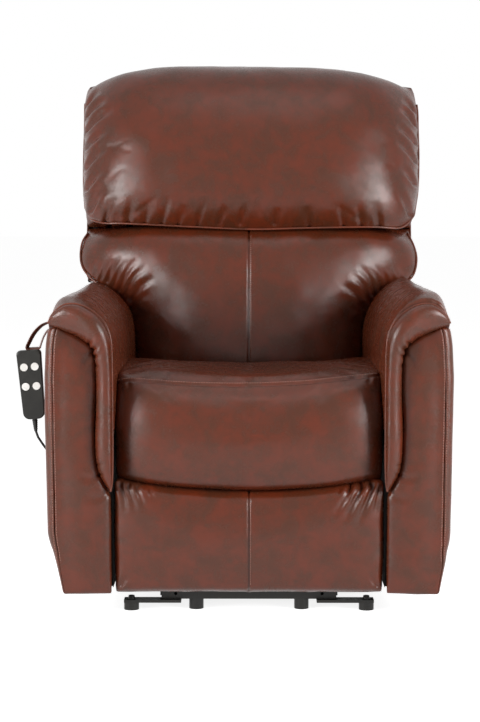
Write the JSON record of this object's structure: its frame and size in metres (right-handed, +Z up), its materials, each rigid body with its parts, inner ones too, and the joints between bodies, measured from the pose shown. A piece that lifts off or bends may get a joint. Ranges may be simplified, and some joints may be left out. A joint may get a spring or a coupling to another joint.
{
  "type": "lift recliner chair",
  "caption": "Powered lift recliner chair with rolled arms, pillow back, folding footrest and a wired handset, on a steel lift base.",
  "frame": {"origin": "on the floor below the middle of the outline of the chair at rest, handset included", "axes": "+X to the right seen from the front, +Y from the footrest to the back, +Z up"},
  "size_m": [0.9103, 0.9334, 1.1636],
  "materials": {
    "leather": "satin",
    "black_steel": "satin",
    "bright_steel": "polished",
    "black_plastic": "satin",
    "button_white": "satin",
    "black_rubber": "matte",
    "plywood": "matte",
    "webbing": "matte"
  },
  "bodies": {
    "base": {"base_front_rail": "black_steel", "base_rear_rail": "black_steel", "base_side_rail_left": "black_steel", "base_side_rail_right": "black_steel", "stabiliser_left": "black_steel", "stabiliser_right": "black_steel", "base_feet": "black_plastic"},
    "front_lift_links": {"lift_torque_tube": "black_steel", "front_lift_link_left": "black_steel", "front_lift_link_right": "black_steel"},
    "rear_lift_links": {"rear_lift_link_left": "black_steel", "rear_lift_link_right": "black_steel"},
    "lift_actuator": {"lift_actuator": "black_plastic"},
    "lift_rod": {"lift_actuator_rod": "bright_steel"},
    "carcass": {"carcass_rail_left": "black_steel", "carcass_rail_right": "black_steel", "cross_members": "black_steel", "mechanism_plate_left": "black_steel", "mechanism_plate_right": "black_steel", "seat_frame": "plywood", "seat_webbing": "webbing", "seat_cushion": "leather", "arm_frame_left": "plywood", "arm_frame_right": "plywood", "arm_pad_left": "leather", "arm_pad_right": "leather", "arm_side_panel_left": "leather", "arm_side_panel_right": "leather", "arm_front_panel_left": "leather", "arm_front_panel_right": "leather", "arm_roll_left": "leather", "arm_roll_right": "leather", "side_pocket_left": "leather", "side_pocket_right": "leather", "power_supply": "black_plastic", "handset": "black_plastic", "handset_strap": "leather", "handset_relief": "black_rubber", "handset_cable": "black_rubber", "cable_coil": "black_rubber", "cable_grommet": "black_rubber"},
    "backrest": {"back_frame": "plywood", "back_webbing": "webbing", "outer_back": "leather", "lumbar_cushion": "leather", "head_pillow": "leather"},
    "back_actuator": {"back_actuator": "black_plastic"},
    "back_rod": {"back_actuator_rod": "bright_steel"},
    "footrest_link_a": {"footrest_link_a": "black_steel"},
    "footrest_link_b": {"footrest_link_b": "black_steel"},
    "footrest_link_c": {"footrest_link_c": "black_steel"},
    "footrest_link_d": {"footrest_link_d": "black_steel"},
    "footrest_link_f": {"footrest_link_f": "black_steel"},
    "footrest": {"footrest_brackets": "black_steel", "footrest_board": "plywood", "footrest_pad": "leather"},
    "button_1": {"button_1": "button_white"},
    "button_2": {"button_2": "button_white"},
    "button_3": {"button_3": "button_white"},
    "button_4": {"button_4": "button_white"}
  },
  "joints": [
    {"name": "lift", "type": "hinge", "parent": "base", "child": "front_lift_links", "pos_m": [0.02887, -0.30669, 0.078], "axis": [1, 0, 0], "range_deg": [0, 68]},
    {"name": "rear_lift", "type": "hinge", "parent": "base", "child": "rear_lift_links", "pos_m": [0.02887, -0.07128, 0.12166], "axis": [1, 0, 0], "range_deg": [0, 68.01]},
    {"name": "carcass_tilt", "type": "hinge", "parent": "front_lift_links", "child": "carcass", "pos_m": [0.02887, -0.10128, 0.12166], "axis": [1, 0, 0], "range_deg": [-47.61, 0]},
    {"name": "lift_actuator_swing", "type": "hinge", "parent": "base", "child": "lift_actuator", "pos_m": [0.02887, 0.32331, 0.062], "axis": [1, 0, 0], "range_deg": [0, 3.07]},
    {"name": "lift_rod_slide", "type": "slide", "parent": "lift_actuator", "child": "lift_rod", "axis": [0, -0.9907, 0.1358], "range_m": [0, 0.06805]},
    {"name": "recline", "type": "hinge", "parent": "carcass", "child": "backrest", "pos_m": [0.02887, 0.26331, 0.35], "axis": [-1, 0, 0], "range_deg": [0, 42]},
    {"name": "back_actuator_swing", "type": "hinge", "parent": "carcass", "child": "back_actuator", "pos_m": [0.02887, -0.31669, 0.14966], "axis": [-1, 0, 0], "range_deg": [0, 1.06]},
    {"name": "back_rod_slide", "type": "slide", "parent": "back_actuator", "child": "back_rod", "axis": [0, -0.9821, -0.1886], "range_m": [0, 0.07229]},
    {"name": "footrest", "type": "hinge", "parent": "carcass", "child": "footrest_link_a", "pos_m": [0.02887, -0.20669, 0.25], "axis": [-1, 0, 0], "range_deg": [0, 92]},
    {"name": "link_b_turn", "type": "hinge", "parent": "footrest_link_a", "child": "footrest_link_b", "pos_m": [0.02887, -0.18194, 0.14282], "axis": [-1, 0, 0], "range_deg": [-108.57, 0]},
    {"name": "link_c_turn", "type": "hinge", "parent": "footrest_link_a", "child": "footrest_link_c", "pos_m": [0.02887, -0.1617, 0.05513], "axis": [-1, 0, 0], "range_deg": [-108.57, 0]},
    {"name": "link_d_turn", "type": "hinge", "parent": "footrest_link_c", "child": "footrest_link_d", "pos_m": [0.02887, -0.21856, 0.10403], "axis": [-1, 0, 0], "range_deg": [0, 108.57]},
    {"name": "link_f_turn", "type": "hinge", "parent": "footrest_link_d", "child": "footrest_link_f", "pos_m": [0.02887, -0.21181, 0.0748], "axis": [-1, 0, 0], "range_deg": [-108.57, 0]},
    {"name": "footrest_panel_turn", "type": "hinge", "parent": "footrest_link_c", "child": "footrest", "pos_m": [0.02887, -0.37701, 0.24032], "axis": [-1, 0, 0], "range_deg": [0, 108.57]},
    {"name": "button_1_press", "type": "slide", "parent": "carcass", "child": "button_1", "axis": [0, 1, 0], "range_m": [0, 0.0015], "stiffness_N_per_m": 800, "springref_m": -0.001},
    {"name": "button_2_press", "type": "slide", "parent": "carcass", "child": "button_2", "axis": [0, 1, 0], "range_m": [0, 0.0015], "stiffness_N_per_m": 800, "springref_m": -0.001},
    {"name": "button_3_press", "type": "slide", "parent": "carcass", "child": "button_3", "axis": [0, 1, 0], "range_m": [0, 0.0015], "stiffness_N_per_m": 800, "springref_m": -0.001},
    {"name": "button_4_press", "type": "slide", "parent": "carcass", "child": "button_4", "axis": [0, 1, 0], "range_m": [0, 0.0015], "stiffness_N_per_m": 800, "springref_m": -0.001}
  ],
  "couplings": [
    {"joint": "rear_lift", "follows": "lift", "ratio": 1},
    {"joint": "carcass_tilt", "follows": "lift", "ratio": -0.7},
    {"joint": "lift_actuator_swing", "follows": "lift", "ratio": 0.045},
    {"joint": "lift_rod_slide", "follows": "lift", "m_per_rad": 0.057296},
    {"joint": "back_actuator_swing", "follows": "recline", "ratio": 0.025},
    {"joint": "back_rod_slide", "follows": "recline", "m_per_rad": 0.098549},
    {"joint": "link_b_turn", "follows": "footrest", "ratio": -1.18},
    {"joint": "link_c_turn", "follows": "footrest", "ratio": -1.18},
    {"joint": "link_d_turn", "follows": "footrest", "ratio": 1.18},
    {"joint": "link_f_turn", "follows": "footrest", "ratio": -1.18},
    {"joint": "footrest_panel_turn", "follows": "footrest", "ratio": 1.18}
  ]
}
